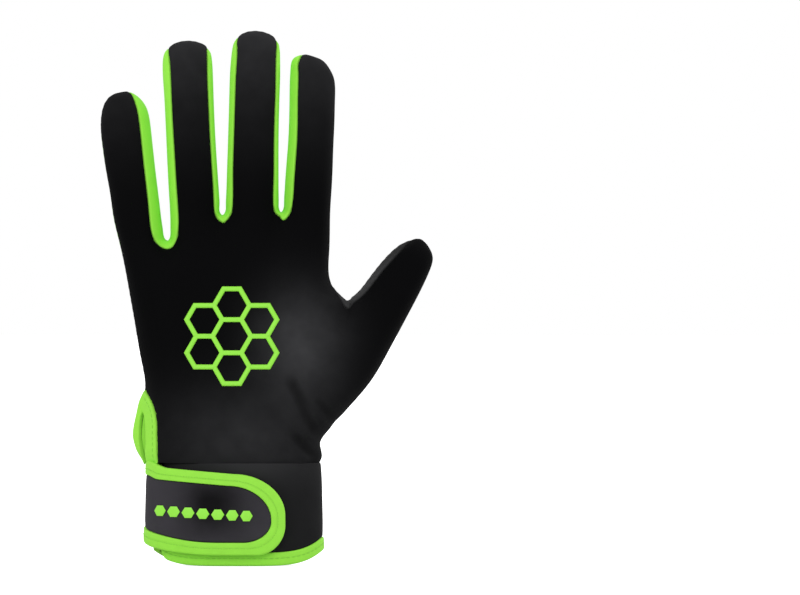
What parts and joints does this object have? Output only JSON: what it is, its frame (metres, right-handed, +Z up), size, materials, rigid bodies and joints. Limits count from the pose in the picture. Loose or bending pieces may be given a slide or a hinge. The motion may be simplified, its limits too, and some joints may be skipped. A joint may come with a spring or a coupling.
{
  "type": "gaelic football glove",
  "caption": "Left-hand sports glove with bright side strips between the fingers, a foam palm, a slit wrist, a short cuff and a closing strap.",
  "frame": {"origin": "middle of the wrist opening, at the lowest level of the hem", "axes": "+Z up along the fingers, +X towards the thumb, -Y out of the back of the hand"},
  "size_m": [0.1492, 0.0488, 0.2405],
  "materials": {
    "back_cloth": "black stretch knit",
    "palm_foam": "dark grey foam-faced grip cloth",
    "green_cloth": "bright green stretch mesh",
    "gusset_cloth": "dark grey stretch cloth",
    "green_tape": "bright green woven binding tape",
    "cuff_cloth": "dark grey padded cloth",
    "loop_pile": "black loop pile",
    "strap_cloth": "dark grey padded strap cloth",
    "green_print": "raised green print"
  },
  "bodies": {
    "root": {"back_panel": "back_cloth", "palm_panel": "palm_foam", "fourchette_little_ring": "green_cloth", "fourchette_ring_middle": "green_cloth", "fourchette_middle_index": "green_cloth", "thumb_gusset": "gusset_cloth", "vent_binding": "green_tape", "wrist_cuff": "cuff_cloth", "hem_binding": "green_tape", "loop_patch": "loop_pile", "wrist_strap": "strap_cloth", "strap_binding": "green_tape", "back_print": "green_print"}
  },
  "joints": []
}
